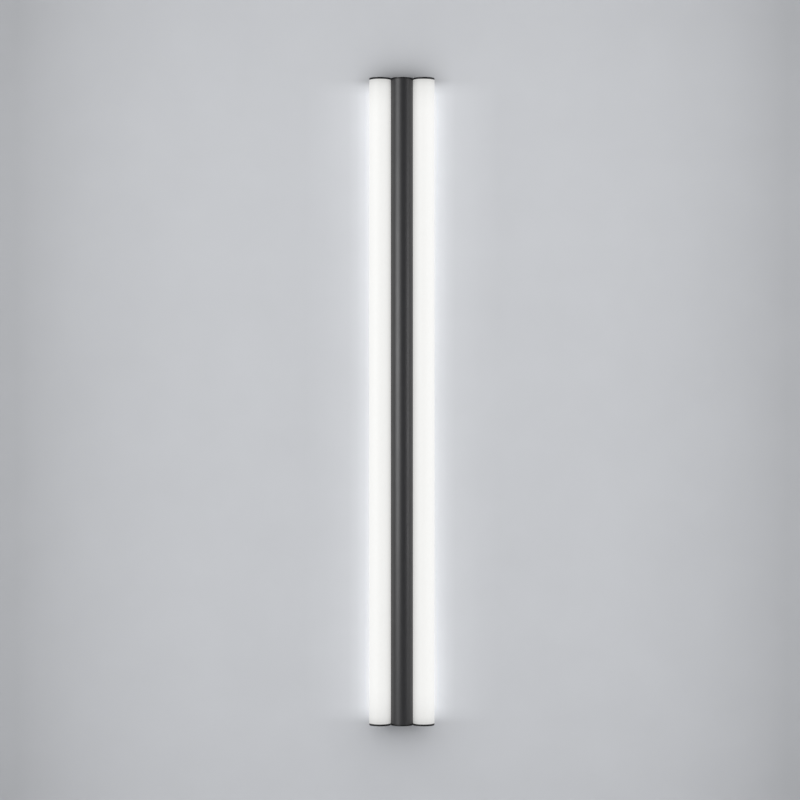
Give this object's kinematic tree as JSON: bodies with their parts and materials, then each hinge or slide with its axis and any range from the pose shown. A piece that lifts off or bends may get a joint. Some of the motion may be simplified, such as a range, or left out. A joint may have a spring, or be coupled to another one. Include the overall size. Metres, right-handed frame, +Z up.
{
  "type": "tube wall light",
  "caption": "Upright wall light: round opal light tubes on both sides of a dark round body, thin end plates, hung on a screwed wall rail.",
  "frame": {"origin": "on the wall plane, midway between the wall screw slots of the rail", "axes": "+X to the right seen from the room, +Y into the wall, +Z up along the tubes"},
  "size_m": [0.121, 0.055, 1.2],
  "materials": {
    "graphite_coat": "satin powder coat on extruded aluminium",
    "graphite_plate": "satin powder coat",
    "opal_acrylic": "satin opal, lit from inside",
    "board_white": "white solder mask",
    "led_phosphor": "satin",
    "connector_nylon": "moulded",
    "black_rubber": "matt",
    "black_screw": "blackened steel",
    "zinc_screw": "zinc plated",
    "brass_screw": "plain",
    "zinc_steel": "galvanised sheet",
    "tray_aluminium": "mill finish sheet",
    "driver_plastic": "moulded, fine texture",
    "terminal_plastic": "moulded",
    "button_plastic": "moulded",
    "spring_steel": "plain",
    "lead_insulation": "smooth"
  },
  "bodies": {
    "rail": {"wall_rail": "zinc_steel", "cable_grommet": "black_rubber"},
    "luminaire": {"body_profile": "graphite_coat", "left_diffuser": "opal_acrylic", "right_diffuser": "opal_acrylic", "upper_left_board": "board_white", "lower_left_board": "board_white", "upper_right_board": "board_white", "lower_right_board": "board_white", "upper_left_leds": "led_phosphor", "lower_left_leds": "led_phosphor", "upper_right_leds": "led_phosphor", "lower_right_leds": "led_phosphor", "link_connectors": "connector_nylon", "feed_connectors": "connector_nylon", "top_end_plate": "graphite_plate", "bottom_end_plate": "graphite_plate", "top_gasket": "black_rubber", "bottom_gasket": "black_rubber", "top_end_screws": "black_screw", "bottom_end_screws": "black_screw", "gear_tray": "tray_aluminium", "tray_bush": "black_rubber", "driver_case": "driver_plastic", "driver_terminals": "terminal_plastic", "driver_screws": "zinc_screw", "terminal_block": "terminal_plastic", "terminal_springs": "spring_steel", "terminal_screws": "zinc_screw", "earth_screw": "brass_screw", "upper_hang_bracket": "zinc_steel", "lower_hang_bracket": "zinc_steel", "hang_bracket_screws": "zinc_screw", "mains_leads": "lead_insulation", "earth_lead": "lead_insulation", "led_leads": "lead_insulation"},
    "live_release_button": {"live_button": "button_plastic"},
    "neutral_release_button": {"neutral_button": "button_plastic"},
    "earth_release_button": {"earth_button": "button_plastic"}
  },
  "joints": [
    {"name": "hang_lift", "type": "slide", "parent": "rail", "child": "luminaire", "axis": [0, 0, 1], "range_m": [0, 0.011]},
    {"name": "live_release", "type": "slide", "parent": "luminaire", "child": "live_release_button", "axis": [0, -1, 0], "range_m": [0, 0.0015], "stiffness_N_per_m": 300, "springref_m": -0.002},
    {"name": "neutral_release", "type": "slide", "parent": "luminaire", "child": "neutral_release_button", "axis": [0, -1, 0], "range_m": [0, 0.0015], "stiffness_N_per_m": 300, "springref_m": -0.002},
    {"name": "earth_release", "type": "slide", "parent": "luminaire", "child": "earth_release_button", "axis": [0, -1, 0], "range_m": [0, 0.0015], "stiffness_N_per_m": 300, "springref_m": -0.002}
  ]
}
